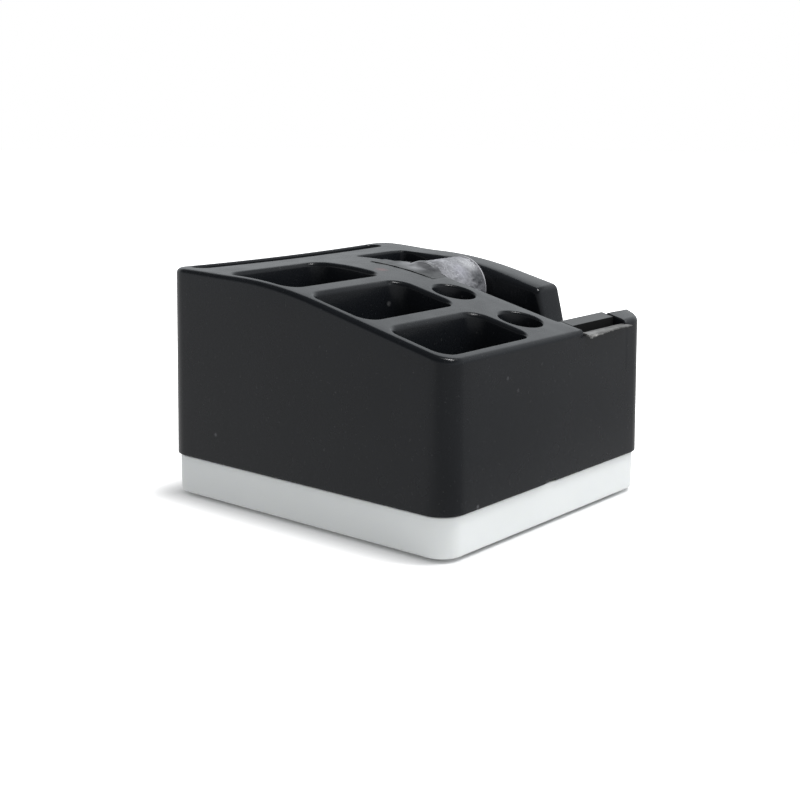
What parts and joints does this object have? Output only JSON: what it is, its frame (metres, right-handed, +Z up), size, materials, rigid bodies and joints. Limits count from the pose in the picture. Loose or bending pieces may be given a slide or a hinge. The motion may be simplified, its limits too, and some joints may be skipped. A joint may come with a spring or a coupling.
{
  "type": "desk organizer with tape dispenser and drawer",
  "caption": "Black desk organizer with open bins, pen wells, a card slot and a tape dispenser, standing on a white drawer that slides out to the front.",
  "frame": {"origin": "centre of the footprint's bounding box at the bottom of the feet", "axes": "+X to the right, seen from the front, where the tape channel is; +Y to the back; +Z up"},
  "size_m": [0.12, 0.1334, 0.084],
  "materials": {
    "housing_plastic": "satin black ABS with a fine texture",
    "cover_plastic": "plain moulded black",
    "drawer_plastic": "satin white",
    "blade_steel": "plain rolled steel",
    "screw_steel": "zinc plated",
    "ballast_steel": "plain sheared plate",
    "pin_steel": "ground",
    "foot_rubber": "matt",
    "hub_plastic": "plain moulded grey",
    "tape_film": "glossy film, a little crinkled"
  },
  "bodies": {
    "housing_body": {"housing": "housing_plastic", "bottom_cover": "cover_plastic", "cover_screws": "screw_steel", "ballast_weight": "ballast_steel", "base_tongue": "cover_plastic", "base_screws": "screw_steel", "foot_front_left": "foot_rubber", "foot_front_right": "foot_rubber", "foot_rear_left": "foot_rubber", "foot_rear_right": "foot_rubber", "cutter_holder": "housing_plastic", "cutter_screw": "screw_steel", "cutter_blade": "blade_steel"},
    "drawer": {"drawer_tray": "drawer_plastic"},
    "axle": {"axle_pin": "pin_steel", "tape_end": "tape_film"},
    "reel": {"hub_half_left": "hub_plastic", "hub_half_right": "hub_plastic", "tape_winding": "tape_film"}
  },
  "joints": [
    {"name": "drawer_slide", "type": "slide", "parent": "housing_body", "child": "drawer", "axis": [0, -1, 0], "range_m": [0, 0.07]},
    {"name": "axle_lift", "type": "slide", "parent": "housing_body", "child": "axle", "axis": [0, 0, 1], "range_m": [0, 0.03]},
    {"name": "reel_spin", "type": "hinge", "parent": "axle", "child": "reel", "pos_m": [0.03, 0.00945, 0.0715], "axis": [1, 0, 0], "continuous": true}
  ]
}
